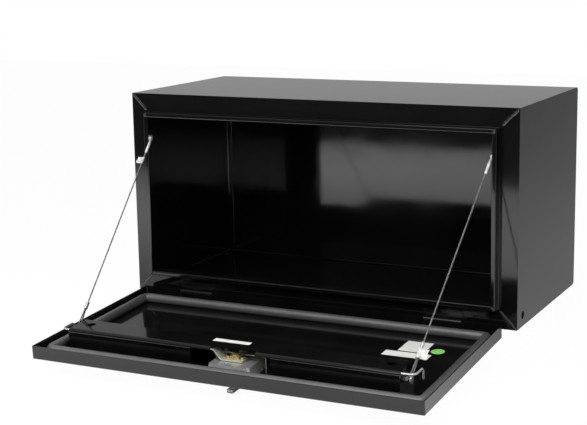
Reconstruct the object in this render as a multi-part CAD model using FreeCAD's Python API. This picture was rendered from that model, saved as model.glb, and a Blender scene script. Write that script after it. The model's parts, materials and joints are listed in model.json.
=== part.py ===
import FreeCAD, Part
import math
import os
from FreeCAD import Vector

# Underbody truck tool box with a drop-down door, drawn with the door open and held by two stay cables.
# Millimetres. X to the right, Y towards the back, Z up. The origin is the centre of the bottom face.

# Box
WIDTH = 914.4
HEIGHT = 457.2
DEPTH = 428.2
SHEET = 1.9
BACK_BEND = 5.0
END_FLANGE = 12.0
END_BEND = 2.5
END_HOLE_RADIUS = 8.75
END_HOLE_INSET = 37.0
END_HOLE_HEIGHT = 24.0

# Front frame: a flat flange, then a ridge that stands forward and meets the door seal
FRAME_FLANGE = 41.0
RIDGE_WIDTH = 10.5
RIDGE_REACH = 22.0
RIDGE_RETURN = 10.0
FRAME_BEND = 0.8

# Door, a pan that opens forward and down
DOOR_WIDTH = 859.0
DOOR_HEIGHT = 432.0
DOOR_DEPTH = 28.0
DOOR_BOTTOM = 12.6
DOOR_GAP = 1.0
DOOR_EDGE = 2.4
OPEN_ANGLE = 93.6

# Hinges
HINGE_CENTRE = 298.0
HINGE_LENGTH = 84.0
HINGE_AXIS_OUT = 7.5
HINGE_AXIS_UP = 6.6
KNUCKLE_RADIUS = 5.6
KNUCKLE_GAP = 0.4
PIN_RADIUS = 3.0
PIN_CLEARANCE = 0.05
LEAF_SHEET = 2.5
FRAME_LEAF_TOP = 30.0
DOOR_LEAF_LOW = 2.8
LEAF_NECK = 8.0
NOTCH_MARGIN = 4.0
NOTCH_DEPTH = 8.0

# Door stiffening channel, s up the shut door and h inwards from its outer face
CHANNEL_LEFT = -381.0
CHANNEL_RIGHT = 356.0
CHANNEL_LOW = 302.0
CHANNEL_HIGH = 369.0
CHANNEL_TOP = 50.0
CHANNEL_BEND = 5.6
CHANNEL_LIP = 12.0
CHANNEL_NOTCH = (-45.0, 55.0)
CHANNEL_NOTCH_LOW = 357.5
CHANNEL_WINDOW = (-90.0, 88.0)
CHANNEL_WINDOW_TOP = 44.0
CHANNEL_BACK_NOTCH = 64.0
CHANNEL_BACK_NOTCH_TOP = 32.0
CHANNEL_HOLE_IN = 32.0
CHANNEL_HOLE_S = 331.0
CHANNEL_HOLE_RADIUS = 8.5

# Seal, a round rubber bulb glued to the door's inner face
SEAL_RADIUS = 10.5
SEAL_SINK = 0.6
SEAL_HALF = 411.3
SEAL_LOW = 34.0
SEAL_HIGH = 398.4
SEAL_CORNER = 12.0

# Latch: a stainless pan let into the door, with a folding T handle on a spindle
SPINDLE_S = 346.0
PAN_SHEET = 1.2
PAN_MOUTH = (50.0, 291.0, 381.5)
PAN_FLOOR = (44.0, 300.0, 376.5)
PAN_DEPTH = 18.8
PAN_FLANGE = 8.0
PAN_CORNER = 5.0
CUTOUT_GAP = 1.9
STRAP_HALF = 57.0
STRAP_LOW = 291.0
STRAP_HIGH = 327.0
STRAP_SHEET = 2.5
STRAP_RISE = 6.0
STUDS = (-38.0, -3.0)
STUD_S = 318.0
STUD_RADIUS = 2.5
STUD_TOP = 35.0
STUD_NUT_ACROSS = 8.0
STUD_NUT_HEIGHT = 4.0
BUSHING_RADIUS = 9.5
BUSHING_NECK = 8.0
BUSHING_LOW = 17.6
BUSHING_TOP = 20.9
SPINDLE_RADIUS = 6.0
SPINDLE_TOP = 34.0
SPINDLE_CLEARANCE = 0.08
HEAD_RADIUS = 12.0
HEAD_LOW = -1.4
HEAD_HIGH = 17.4
FOLD_H = 4.0
FOLD_PIN_RADIUS = 2.0
FOLD_CLEARANCE = 0.05
TONGUE_WIDTH = 10.0
TONGUE_GAP = 0.3
TONGUE_RADIUS = 5.0
HANDLE_REACH = 37.0
HANDLE_BAR_WIDE = 14.0
HANDLE_BAR_THICK = 9.0
HANDLE_BAR_ROUND = 2.4
HANDLE_BAR_HALF = 31.5
STEM_THICK = 8.0
LOCK_RADIUS = 3.6
LOCK_CLEARANCE = 0.08
LOCK_FACE = 41.9
LOCK_DEPTH = 9.0
KEY_SLOT = (1.0, 4.6, 4.0)
CAM_LENGTH = 80.0
CAM_WIDTH = 22.0
CAM_SHEET = 3.2
CAM_LOW = 21.1
CAM_HIGH = 39.7
CAM_RISE_START = 29.0
CAM_RISE_END = 45.0
CAM_BEND = 3.0
CAM_TAIL = 19.0
CAM_SCREWS = (-14.8, 17.0)
CAM_SCREW_RADIUS = 3.8
CAM_SCREW_HEIGHT = 3.4
CAM_NUT_ACROSS = 18.0
CAM_NUT_HEIGHT = 7.0

# Stay cables
CABLE_RADIUS = 1.5
SCREW_UP = 357.5
SCREW_OUT = 12.0
SCREW_RADIUS = 3.0
SCREW_HEAD_RADIUS = 6.5
SCREW_HEAD = 3.6
NUT_ACROSS = 10.0
NUT_HEIGHT = 4.8
EYE_SHEET = 2.6
EYE_RADIUS = 7.2
BARREL_IN = 3.3
BARREL_RADIUS = 2.6
BARREL_END = 13.0
SLEEVE_RADIUS = 3.0
SLEEVE_END = 40.0
ANCHOR_S = 337.5
ANCHOR_H = 25.0
ANCHOR_PLATE = 3.0
BOLT_RADIUS = 3.0
BOLT_HEAD_RADIUS = 7.5
LOOP_GAP = 4.4
LOOP_RADIUS = 4.55
LOOP_LENGTH = 62.0
STRAND_HALF = 1.55
FERRULE_LENGTH = 16.0
FERRULE_RADIUS = 2.7
KEEPER_RADIUS = 2.2
KEEPER_REACHES = {"right": 28.0, "left": 20.0}
KEEPER_S = (362.0, 322.0)
KEEPER_END = 24.0
KEEPER_BENDS = (12.0, 8.0)
TAG_LENGTH = 17.0
TAG_WIDE = 13.0
TAG_SHEET = 0.9
TAG_WALL = 0.7
LEFT_TAG_START = 52.0

# Bare stickers on the door: name, centre x, centre s, height of the face under it, size x, size s
STICKERS = [
    ("sticker_square", 285.0, 112.0, SHEET, 56.0, 58.0),
    ("sticker_strip", 283.0, 160.0, SHEET, 98.0, 27.0),
    ("sticker_channel", -18.0, 325.0, CHANNEL_TOP, 82.0, 14.0),
]
STICKER_SHEET = 0.25
DOT = (336.0, 123.0, 14.0)

# Welds
FRAME_BEAD = 4.0
FRAME_BEAD_RISE = 0.6
RIDGE_BEAD = 3.2
RIDGE_BEAD_RISE = 1.3
TACK_RADIUS = 1.8
TACK_LENGTH = 18.0

# Places worked out from the sizes above
X_END = WIDTH / 2
Y_FRONT = -DEPTH / 2
Y_BACK = DEPTH / 2
Y_DOOR = Y_FRONT - DOOR_GAP - DOOR_DEPTH
Y_HINGE = Y_FRONT - HINGE_AXIS_OUT
RIDGE_IN = FRAME_FLANGE + RIDGE_WIDTH
OPENING_HALF = X_END - RIDGE_IN
PAN_BACK = PAN_DEPTH + PAN_SHEET
AXIS_X = Vector(1, 0, 0)
AXIS_Y = Vector(0, 1, 0)
AXIS_Z = Vector(0, 0, 1)
ORIGIN = Vector(0, 0, 0)
HINGE_POINT = Vector(0, Y_HINGE, HINGE_AXIS_UP)
FAR = 2000.0


def block(x0, x1, y0, y1, z0, z1):
    return Part.makeBox(x1 - x0, y1 - y0, z1 - z0, Vector(x0, y0, z0))


def rod(start, direction, radius, length):
    return Part.makeCylinder(radius, length, start, direction)


def single(shape):
    """The one solid of a boolean result."""
    return shape.Solids[0] if len(shape.Solids) == 1 else shape


def fuse(shapes):
    return single(shapes[0].multiFuse(shapes[1:]).removeSplitter())


def cut(shape, tools):
    return single(shape.cut(tools).removeSplitter())


def mirrored(shape):
    """The same piece for the left side."""
    return shape.mirror(ORIGIN, AXIS_X)


def on_both(shapes):
    """Small pieces of the right side together with their mirror images."""
    return Part.makeCompound(shapes + [mirrored(shape) for shape in shapes])


def on_door(x, s, h):
    """A point on the shut door: s up from its lower edge, h inwards from its outer face."""
    return Vector(x, Y_DOOR + h, DOOR_BOTTOM + s)


def door_block(x0, x1, s0, s1, h0, h1):
    return block(x0, x1, Y_DOOR + h0, Y_DOOR + h1, DOOR_BOTTOM + s0, DOOR_BOTTOM + s1)


def opened(shape):
    """The door's pieces are drawn shut and then swung down about the hinge pins."""
    turned = shape.copy()
    turned.rotate(HINGE_POINT, AXIS_X, OPEN_ANGLE)
    return turned


def opened_point(point):
    return HINGE_POINT + FreeCAD.Rotation(AXIS_X, OPEN_ANGLE).multVec(point - HINGE_POINT)


def unlatched(shape):
    """The latch is drawn locked, then turned back a quarter turn and opened with the door."""
    turned = shape.copy()
    turned.rotate(on_door(0, SPINDLE_S, 0), AXIS_Y, -90)
    return opened(turned)


def rounded_run(points, radii):
    """Straight runs between the points, with an arc of the given radius at each inner point."""
    edges = []
    start = points[0]
    for i, radius in enumerate(radii, 1):
        back = (points[i - 1] - points[i]).normalize()
        ahead = (points[i + 1] - points[i]).normalize()
        half = back.getAngle(ahead) / 2
        reach = radius / math.tan(half)
        bisector = (back + ahead).normalize()
        first = points[i] + back * reach
        middle = points[i] + bisector * (radius / math.sin(half) - radius)
        last = points[i] + ahead * reach
        edges.append(Part.LineSegment(start, first).toShape())
        edges.append(Part.Arc(first, middle, last).toShape())
        start = last
    edges.append(Part.LineSegment(start, points[-1]).toShape())
    return edges


def bent_sheet(run, thickness, inner_radii, place, sweep):
    """A bent sheet whose metal lies to the left of the run of (u, v) points."""
    near = [Vector(u, v, 0) for u, v in run]
    legs = [(b - a).normalize() for a, b in zip(near, near[1:])]
    normals = [Vector(-leg.y, leg.x, 0) for leg in legs]
    far = [near[0] + normals[0] * thickness]
    near_radii = []
    far_radii = []
    for i, inner in enumerate(inner_radii, 1):
        mitre = (normals[i - 1] + normals[i]).normalize()
        far.append(near[i] + mitre * (thickness / mitre.dot(normals[i])))
        left_turn = legs[i - 1].cross(legs[i]).z > 0
        near_radii.append(inner + thickness if left_turn else inner)
        far_radii.append(inner if left_turn else inner + thickness)
    far.append(near[-1] + normals[-1] * thickness)
    edges = rounded_run([place(p) for p in near], near_radii)
    edges += rounded_run([place(p) for p in far], far_radii)
    edges.append(Part.LineSegment(place(near[0]), place(far[0])).toShape())
    edges.append(Part.LineSegment(place(near[-1]), place(far[-1])).toShape())
    outline = Part.Wire(Part.__sortEdges__(edges))
    return Part.Face(outline).extrude(sweep)


def rounded_outline(half, s0, s1, h, radius):
    """A rounded rectangle lying on the shut door at height h."""
    corners = [(half, s0), (half, s1), (-half, s1), (-half, s0)]
    points = [on_door(0, s0, h)] + [on_door(x, s, h) for x, s in corners] + [on_door(0, s0, h)]
    return Part.Wire(Part.__sortEdges__(rounded_run(points, [radius] * 4)))


def hexagon(centre, direction, across, height, bore):
    """A hexagon nut standing on centre along direction."""
    corner = across / math.sqrt(3)
    ring = []
    for i in range(7):
        angle = math.radians(60 * i)
        ring.append(Vector(corner * math.cos(angle), corner * math.sin(angle), 0))
    nut = Part.Face(Part.makePolygon(ring)).extrude(Vector(0, 0, height))
    nut = nut.cut(rod(Vector(0, 0, -1), AXIS_Z, bore, height + 2))
    nut.Placement = FreeCAD.Placement(centre, FreeCAD.Rotation(AXIS_Z, direction))
    return nut


# The box

def body_wrap():
    """Top, back and bottom in one sheet, bent at the two back edges."""
    front = Y_FRONT + SHEET
    run = [(front, 0), (Y_BACK, 0), (Y_BACK, HEIGHT), (front, HEIGHT)]
    x0 = -X_END + SHEET
    return bent_sheet(run, SHEET, [BACK_BEND] * 2, lambda p: Vector(x0, p.x, p.y),
                      Vector(-2 * x0, 0, 0))


def end_panel(open_hole):
    """The right end, with a narrow flange lapped inside the wrap along three edges.

    The flanges meet the plate in a round bend. Only one end has the open hole."""
    x1 = X_END - SHEET
    x0 = x1 - END_FLANGE
    y0 = Y_FRONT + SHEET
    y1 = Y_BACK - SHEET
    plate = block(x1, X_END, y0, Y_BACK, 0, HEIGHT)
    corners = [e for e in plate.Edges
               if abs(e.Length - SHEET) < 0.001 and abs(e.CenterOfMass.y - Y_BACK) < 0.001]
    plate = plate.makeFillet(BACK_BEND + SHEET, corners)
    clear = SHEET + BACK_BEND
    back = block(x0, x1, y1 - SHEET, y1, clear, HEIGHT - clear)
    bottom = block(x0, x1, y0 + RIDGE_IN, Y_BACK - clear, SHEET, 2 * SHEET)
    top = block(x0, x1, y0 + RIDGE_IN, Y_BACK - clear, HEIGHT - 2 * SHEET, HEIGHT - SHEET)
    panel = fuse([plate, back, bottom, top])
    bends = [e for e in panel.Edges if abs(e.BoundBox.XMin - x1) < 0.001 and e.BoundBox.XLength < 0.001
             and (abs(e.CenterOfMass.y - y1 + SHEET) < 0.001
                  or abs(e.CenterOfMass.z - 2 * SHEET) < 0.001
                  or abs(e.CenterOfMass.z - HEIGHT + 2 * SHEET) < 0.001) and e.Length > 100]
    panel = panel.makeFillet(END_BEND, bends)
    if open_hole:
        panel = cut(panel, [rod(Vector(x1 - 1, Y_FRONT + END_HOLE_INSET, END_HOLE_HEIGHT), AXIS_X,
                                END_HOLE_RADIUS, SHEET + 2)])
    return panel


def frame_member(length):
    """Flat flange, seal ridge and return leg, mitred at both ends, lying along the bottom."""
    run = [(0, 0), (FRAME_FLANGE, 0), (FRAME_FLANGE, -RIDGE_REACH), (RIDGE_IN, -RIDGE_REACH),
           (RIDGE_IN, RIDGE_RETURN)]
    half = length / 2
    strip = bent_sheet(run, SHEET, [FRAME_BEND] * 3,
                       lambda p: Vector(-half, Y_FRONT + p.y, p.x), Vector(length, 0, 0))
    y0 = Y_FRONT - RIDGE_REACH - 1
    reach = RIDGE_IN + 1
    corners = [(-half, 0), (half, 0), (half - reach, reach), (reach - half, reach), (-half, 0)]
    wedge = Part.Face(Part.makePolygon([Vector(x, y0, z) for x, z in corners]))
    return single(strip.common(wedge.extrude(Vector(0, RIDGE_REACH + RIDGE_RETURN + 2, 0))))


def frame_top():
    shape = frame_member(WIDTH)
    shape.rotate(ORIGIN, AXIS_Y, 180)
    shape.translate(Vector(0, 0, HEIGHT))
    return shape


def frame_right():
    """The right upright, with the hole for the cable screw in its inner leg."""
    shape = frame_member(HEIGHT)
    shape.rotate(ORIGIN, AXIS_Y, -90)
    shape.translate(Vector(X_END, 0, HEIGHT / 2))
    hole = rod(Vector(OPENING_HALF - 1, Y_FRONT - SCREW_OUT, SCREW_UP), AXIS_X, SCREW_RADIUS,
               SHEET + 2)
    return cut(shape, [hole])


def flat_bead(start, end, radius, rise):
    """A low weld bead on a front face, a round bar with round ends sunk into the sheet."""
    sink = Vector(0, radius - rise, 0)
    along = end - start
    bar = fuse([rod(start + sink, along, radius, along.Length), Part.makeSphere(radius, start + sink),
                Part.makeSphere(radius, end + sink)])
    return single(bar.common(block(-FAR, FAR, start.y - radius, start.y, -FAR, FAR)))


def frame_corner_welds():
    """Beads on the mitre of each frame corner, one on the flange and one on the ridge."""
    beads = []
    for near, far, y_face, radius, rise in (
            (3, FRAME_FLANGE - 4, Y_FRONT, FRAME_BEAD, FRAME_BEAD_RISE),
            (FRAME_FLANGE + 3.5, RIDGE_IN - 3, Y_FRONT - RIDGE_REACH, RIDGE_BEAD, RIDGE_BEAD_RISE)):
        for right in (1, -1):
            for top in (0, 1):
                ends = []
                for inset in (near, far):
                    z = HEIGHT - inset if top else inset
                    ends.append(Vector(right * (X_END - inset), y_face, z))
                beads.append(flat_bead(ends[0], ends[1], radius, rise))
    return Part.makeCompound(beads)


def seam_welds():
    """On the right end panel's flanges: a full bead up the back and two tacks along the bottom."""
    x = X_END - SHEET - END_FLANGE
    y = Y_BACK - SHEET
    low = SHEET + BACK_BEND + 2
    bar = rod(Vector(x, y, low), AXIS_Z, TACK_RADIUS, HEIGHT - 2 * low)
    tacks = [bar.common(block(x - TACK_RADIUS, x, y - TACK_RADIUS, y, low, HEIGHT - low))]
    for y in (Y_FRONT + 2 * RIDGE_IN, Y_BACK - 3 * TACK_LENGTH):
        bar = rod(Vector(x, y, SHEET), AXIS_Y, TACK_RADIUS, TACK_LENGTH)
        tacks.append(bar.common(block(x - TACK_RADIUS, x, y, y + TACK_LENGTH, SHEET,
                                      SHEET + TACK_RADIUS)))
    return [single(tack) for tack in tacks]


# The hinges, drawn for the right side

def knuckle_spans():
    """Three knuckles: the door has the outer two, the box the middle one."""
    length = (HINGE_LENGTH - 2 * KNUCKLE_GAP) / 3
    start = HINGE_CENTRE - HINGE_LENGTH / 2
    return [(start + i * (length + KNUCKLE_GAP), start + i * (length + KNUCKLE_GAP) + length)
            for i in range(3)]


def hinge_rod(x0, x1, radius):
    return rod(Vector(x0, Y_HINGE, HINGE_AXIS_UP), AXIS_X, radius, x1 - x0)


def frame_hinge_leaf():
    x0, x1 = knuckle_spans()[1]
    half = HINGE_LENGTH / 2
    plate = block(HINGE_CENTRE - half, HINGE_CENTRE + half, Y_FRONT - LEAF_SHEET, Y_FRONT,
                  HINGE_AXIS_UP + LEAF_NECK, FRAME_LEAF_TOP)
    neck = block(x0, x1, Y_FRONT - LEAF_SHEET, Y_FRONT, HINGE_AXIS_UP, HINGE_AXIS_UP + LEAF_NECK)
    leaf = fuse([plate, neck, hinge_rod(x0, x1, KNUCKLE_RADIUS)])
    return cut(leaf, [hinge_rod(x0 - 1, x1 + 1, PIN_RADIUS)])


def door_hinge_leaf():
    half = HINGE_LENGTH / 2
    h_axis = Y_HINGE - Y_DOOR
    pieces = [door_block(HINGE_CENTRE - half, HINGE_CENTRE + half, -LEAF_SHEET, 0, DOOR_LEAF_LOW,
                         h_axis - LEAF_NECK)]
    bores = []
    for x0, x1 in (knuckle_spans()[0], knuckle_spans()[2]):
        pieces.append(door_block(x0, x1, -LEAF_SHEET, 0, h_axis - LEAF_NECK, h_axis))
        pieces.append(hinge_rod(x0, x1, KNUCKLE_RADIUS))
        bores.append(hinge_rod(x0 - 0.1, x1 + 0.1, PIN_RADIUS + PIN_CLEARANCE))
    return opened(cut(fuse(pieces), bores))


def hinge_pin():
    half = HINGE_LENGTH / 2
    return hinge_rod(HINGE_CENTRE - half, HINGE_CENTRE + half, PIN_RADIUS)


def frame_hinge_tacks():
    """Upright tack welds at both ends of the leaf on the frame."""
    z0 = HINGE_AXIS_UP + LEAF_NECK + 1
    height = FRAME_LEAF_TOP - z0 - 1
    tacks = []
    for end in (-1, 1):
        x = HINGE_CENTRE + end * HINGE_LENGTH / 2
        bar = rod(Vector(x, Y_FRONT, z0), AXIS_Z, TACK_RADIUS, height)
        outside = block(min(x, x + end * 4), max(x, x + end * 4), Y_FRONT - 4, Y_FRONT, z0,
                        z0 + height)
        tacks.append(single(bar.common(outside)))
    return tacks


def door_hinge_tacks():
    h0 = DOOR_LEAF_LOW + 0.6
    length = Y_HINGE - Y_DOOR - LEAF_NECK - h0 - 0.6
    tacks = []
    for end in (-1, 1):
        x = HINGE_CENTRE + end * HINGE_LENGTH / 2
        bar = rod(on_door(x, 0, h0), AXIS_Y, TACK_RADIUS, length)
        outside = door_block(min(x, x + end * 4), max(x, x + end * 4), -4, 0, h0, h0 + length)
        tacks.append(single(bar.common(outside)))
    return opened(on_both(tacks))


# The door

def door_pan():
    """A shallow pan with rounded edges, notched at the hinges and cut out for the latch."""
    half = DOOR_WIDTH / 2
    outer = door_block(-half, half, 0, DOOR_HEIGHT, 0, DOOR_DEPTH)
    edges = [e for e in outer.Edges if e.BoundBox.YMin < Y_DOOR + 0.001]
    outer = outer.makeFillet(DOOR_EDGE, edges)
    tools = [door_block(-half + SHEET, half - SHEET, SHEET, DOOR_HEIGHT - SHEET, SHEET,
                        DOOR_DEPTH + 1)]
    reach = HINGE_LENGTH / 2 + NOTCH_MARGIN
    for side in (-1, 1):
        x = side * HINGE_CENTRE
        tools.append(door_block(x - reach, x + reach, -1, SHEET + 1, DOOR_DEPTH - NOTCH_DEPTH,
                                DOOR_DEPTH + 1))
    x, low, high = PAN_MOUTH
    gap = CUTOUT_GAP
    opening = Part.Face(rounded_outline(x + gap, low - gap, high + gap, -1, PAN_CORNER + gap))
    tools.append(opening.extrude(Vector(0, SHEET + 2, 0)))
    return opened(cut(outer, tools))


def door_corner_beads():
    """Upright beads inside the four corners of the pan."""
    beads = []
    x = DOOR_WIDTH / 2 - SHEET
    for right in (-1, 1):
        for s, up in ((SHEET, 1), (DOOR_HEIGHT - SHEET, -1)):
            bar = rod(on_door(right * x, s, SHEET), AXIS_Y, TACK_RADIUS, DOOR_DEPTH - 2 * SHEET)
            inside = door_block(min(right * x, right * (x - 4)), max(right * x, right * (x - 4)),
                                min(s, s + up * 4), max(s, s + up * 4), 0, DOOR_DEPTH)
            beads.append(single(bar.common(inside)))
    return opened(Part.makeCompound(beads))


def door_seal():
    """A round bulb led round the door with bent corners, its glued side flat."""
    h = SHEET + SEAL_RADIUS - SEAL_SINK
    path = rounded_outline(SEAL_HALF, SEAL_LOW, SEAL_HIGH, h, SEAL_CORNER)
    circle = Part.Wire(Part.makeCircle(SEAL_RADIUS, on_door(0, SEAL_LOW, h), AXIS_X))
    bulb = path.makePipeShell([circle], True, False)
    below = door_block(-FAR, FAR, -FAR, FAR, -FAR, SHEET)
    return opened(cut(bulb, [below]))


def door_channel():
    """A hat channel across the door, with a lip at its lower side and cut away at the latch."""
    lip = 2 * SHEET
    run = [(CHANNEL_HIGH, SHEET), (CHANNEL_HIGH, CHANNEL_TOP), (CHANNEL_LOW, CHANNEL_TOP),
           (CHANNEL_LOW, lip), (CHANNEL_LOW - CHANNEL_LIP, lip)]
    shape = bent_sheet(run, SHEET, [CHANNEL_BEND, CHANNEL_BEND, FRAME_BEND],
                       lambda p: on_door(CHANNEL_LEFT, p.x, p.y),
                       Vector(CHANNEL_RIGHT - CHANNEL_LEFT, 0, 0))
    tools = [door_block(CHANNEL_NOTCH[0], CHANNEL_NOTCH[1], CHANNEL_NOTCH_LOW, CHANNEL_HIGH + 1, 0,
                        CHANNEL_TOP + 1)]
    tools.append(door_block(CHANNEL_WINDOW[0], CHANNEL_WINDOW[1], CHANNEL_HIGH - SHEET - 1,
                            CHANNEL_HIGH + 1, 0, CHANNEL_WINDOW_TOP))
    tools.append(door_block(-CHANNEL_BACK_NOTCH, CHANNEL_BACK_NOTCH, CHANNEL_LOW - CHANNEL_LIP - 1,
                            CHANNEL_LOW + SHEET + 1, 0, CHANNEL_BACK_NOTCH_TOP))
    for x in (CHANNEL_LEFT + CHANNEL_HOLE_IN, CHANNEL_RIGHT - CHANNEL_HOLE_IN):
        tools.append(rod(on_door(x, CHANNEL_HOLE_S, CHANNEL_TOP - SHEET - 1), AXIS_Y,
                         CHANNEL_HOLE_RADIUS, SHEET + 2))
    return opened(cut(shape, tools))


def cable_plate(end):
    """A plate that closes the channel's end at x = end and carries a cable's bolt."""
    low = CHANNEL_LOW + SHEET
    high = CHANNEL_HIGH - SHEET
    plate = door_block(end - ANCHOR_PLATE, end, low, high, SHEET, CHANNEL_TOP - SHEET)
    top = Y_DOOR + CHANNEL_TOP - SHEET - 0.001
    corners = [e for e in plate.Edges if abs(e.Length - ANCHOR_PLATE) < 0.001 and e.BoundBox.YMin > top]
    plate = plate.makeFillet(CHANNEL_BEND, corners)
    bore = rod(on_door(end - ANCHOR_PLATE - 1, ANCHOR_S, ANCHOR_H), AXIS_X, BOLT_RADIUS,
               ANCHOR_PLATE + 2)
    return opened(cut(plate, [bore]))


def cable_keeper(end, reach):
    """A bent rod on the plate that keeps the cable's end beside the channel."""
    h = CHANNEL_TOP - SHEET - KEEPER_RADIUS - 0.1
    x = end + reach
    points = [on_door(end, KEEPER_S[0], h), on_door(x, KEEPER_S[0], h), on_door(x, KEEPER_S[1], h),
              on_door(x, KEEPER_S[1], KEEPER_END)]
    path = Part.Wire(rounded_run(points, KEEPER_BENDS))
    circle = Part.Wire(Part.makeCircle(KEEPER_RADIUS, points[0], AXIS_X))
    return opened(path.makePipeShell([circle], True, False))


def sticker(x, s, h, size_x, size_s):
    return opened(door_block(x - size_x / 2, x + size_x / 2, s - size_s / 2, s + size_s / 2, h,
                             h + STICKER_SHEET))


def sticker_dot():
    return opened(rod(on_door(DOT[0], DOT[1], SHEET), AXIS_Y, DOT[2], STICKER_SHEET))


# The latch

def pan_solid(grow, depth, low):
    """A tapering block with rounded corners: the mouth at height low, the floor at depth."""
    mouth = rounded_outline(PAN_MOUTH[0] + grow, PAN_MOUTH[1] - grow, PAN_MOUTH[2] + grow, low,
                            PAN_CORNER + grow)
    floor = rounded_outline(PAN_FLOOR[0] + grow, PAN_FLOOR[1] - grow, PAN_FLOOR[2] + grow, depth,
                            PAN_CORNER + grow)
    return Part.makeLoft([mouth, floor], True, True)


def latch_pan():
    """The recess: tapering walls, a floor and a flange that lies on the door's outer face."""
    outer = pan_solid(PAN_SHEET, PAN_BACK, 0)
    inner = pan_solid(0, PAN_DEPTH, 0)
    x, low, high = PAN_MOUTH
    reach = PAN_FLANGE
    rim = Part.Face(rounded_outline(x + reach, low - reach, high + reach, -PAN_SHEET,
                                    PAN_CORNER + reach))
    hollow = Part.Face(rounded_outline(x, low, high, -PAN_SHEET - 1, PAN_CORNER))
    flange = rim.extrude(Vector(0, PAN_SHEET, 0)).cut(hollow.extrude(Vector(0, PAN_SHEET + 2, 0)))
    hole = rod(on_door(0, SPINDLE_S, PAN_DEPTH - 1), AXIS_Y, BUSHING_NECK, PAN_SHEET + 2)
    return opened(cut(fuse([cut(outer, [inner]), flange]), [hole]))


def latch_strap():
    """A bent strap over the back of the pan, its feet on the door's inner face."""
    top = PAN_BACK + STRAP_RISE + STRAP_SHEET
    run = [(-STRAP_HALF, SHEET), (-STRAP_HALF, top), (STRAP_HALF, top), (STRAP_HALF, SHEET)]
    run.reverse()
    shape = bent_sheet(run, STRAP_SHEET, [2.0, 2.0], lambda p: on_door(p.x, STRAP_LOW, p.y),
                       Vector(0, 0, STRAP_HIGH - STRAP_LOW))
    holes = [rod(on_door(x, STUD_S, top - STRAP_SHEET - 1), AXIS_Y, STUD_RADIUS, STRAP_SHEET + 2)
             for x in STUDS]
    return opened(cut(shape, holes))


def latch_studs():
    """Two studs that stand on the back of the pan, each with a collar under the strap."""
    studs = []
    for x in STUDS:
        foot = on_door(x, STUD_S, PAN_BACK)
        studs.append(fuse([rod(foot, AXIS_Y, STUD_RADIUS, STUD_TOP - PAN_BACK),
                           rod(foot, AXIS_Y, 2 * STUD_RADIUS, STRAP_RISE)]))
    return opened(Part.makeCompound(studs))


def latch_stud_nuts():
    top = PAN_BACK + STRAP_RISE + STRAP_SHEET
    nuts = [hexagon(on_door(x, STUD_S, top), AXIS_Y, STUD_NUT_ACROSS, STUD_NUT_HEIGHT, STUD_RADIUS)
            for x in STUDS]
    return opened(Part.makeCompound(nuts))


def spindle_rod(h0, h1, radius):
    return rod(on_door(0, SPINDLE_S, h0), AXIS_Y, radius, h1 - h0)


def latch_bushing():
    """A collar in the pan's floor that carries the spindle."""
    solid = fuse([spindle_rod(BUSHING_LOW, PAN_DEPTH, BUSHING_RADIUS),
                  spindle_rod(PAN_DEPTH, PAN_BACK, BUSHING_NECK),
                  spindle_rod(PAN_BACK, BUSHING_TOP, BUSHING_RADIUS)])
    bore = spindle_rod(BUSHING_LOW - 1, BUSHING_TOP + 1, SPINDLE_RADIUS + SPINDLE_CLEARANCE)
    return opened(cut(solid, [bore]))


def spindle():
    """The shaft and its slotted head, in which the handle folds."""
    head = spindle_rod(HEAD_LOW, HEAD_HIGH, HEAD_RADIUS)
    slot_half = TONGUE_WIDTH / 2 + TONGUE_GAP
    slot = door_block(-slot_half, slot_half, SPINDLE_S - HEAD_RADIUS - 1, SPINDLE_S + HEAD_RADIUS + 1,
                      HEAD_LOW - 1, FOLD_H + TONGUE_RADIUS + TONGUE_GAP)
    head = cut(head, [slot, fold_rod(-HEAD_RADIUS - 1, HEAD_RADIUS + 1, FOLD_PIN_RADIUS)])
    return unlatched(fuse([head, spindle_rod(HEAD_HIGH, SPINDLE_TOP, SPINDLE_RADIUS)]))


def fold_rod(x0, x1, radius):
    return rod(on_door(x0, SPINDLE_S, FOLD_H), AXIS_X, radius, x1 - x0)


def fold_pin():
    reach = HEAD_RADIUS - 0.6
    return unlatched(fold_rod(-reach, reach, FOLD_PIN_RADIUS))


def cam_arm():
    """A bent arm that reaches behind the top of the frame when it is turned up."""
    rise = CAM_HIGH - CAM_LOW
    run = [(-CAM_TAIL, 0), (CAM_RISE_START, 0), (CAM_RISE_END, rise), (CAM_LENGTH, rise)]
    half = CAM_WIDTH / 2
    arm = bent_sheet(run, CAM_SHEET, [CAM_BEND] * 2,
                     lambda p: on_door(-half, SPINDLE_S + p.x, CAM_LOW + p.y),
                     Vector(CAM_WIDTH, 0, 0))
    bore = spindle_rod(CAM_LOW - 1, CAM_LOW + CAM_SHEET + 1, SPINDLE_RADIUS)
    return unlatched(cut(arm, [bore]))


def cam_nuts():
    """The nut on the spindle and two round screw heads beside it."""
    base = CAM_LOW + CAM_SHEET
    pieces = [hexagon(on_door(0, SPINDLE_S, base), AXIS_Y, CAM_NUT_ACROSS, CAM_NUT_HEIGHT,
                      SPINDLE_RADIUS)]
    for along in CAM_SCREWS:
        head = rod(on_door(0, SPINDLE_S + along, base), AXIS_Y, CAM_SCREW_RADIUS, CAM_SCREW_HEIGHT)
        rim = [e for e in head.Edges if e.BoundBox.YMin > Y_DOOR + base + 0.1]
        pieces.append(head.makeFillet(1.0, rim))
    return unlatched(Part.makeCompound(pieces))


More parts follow.
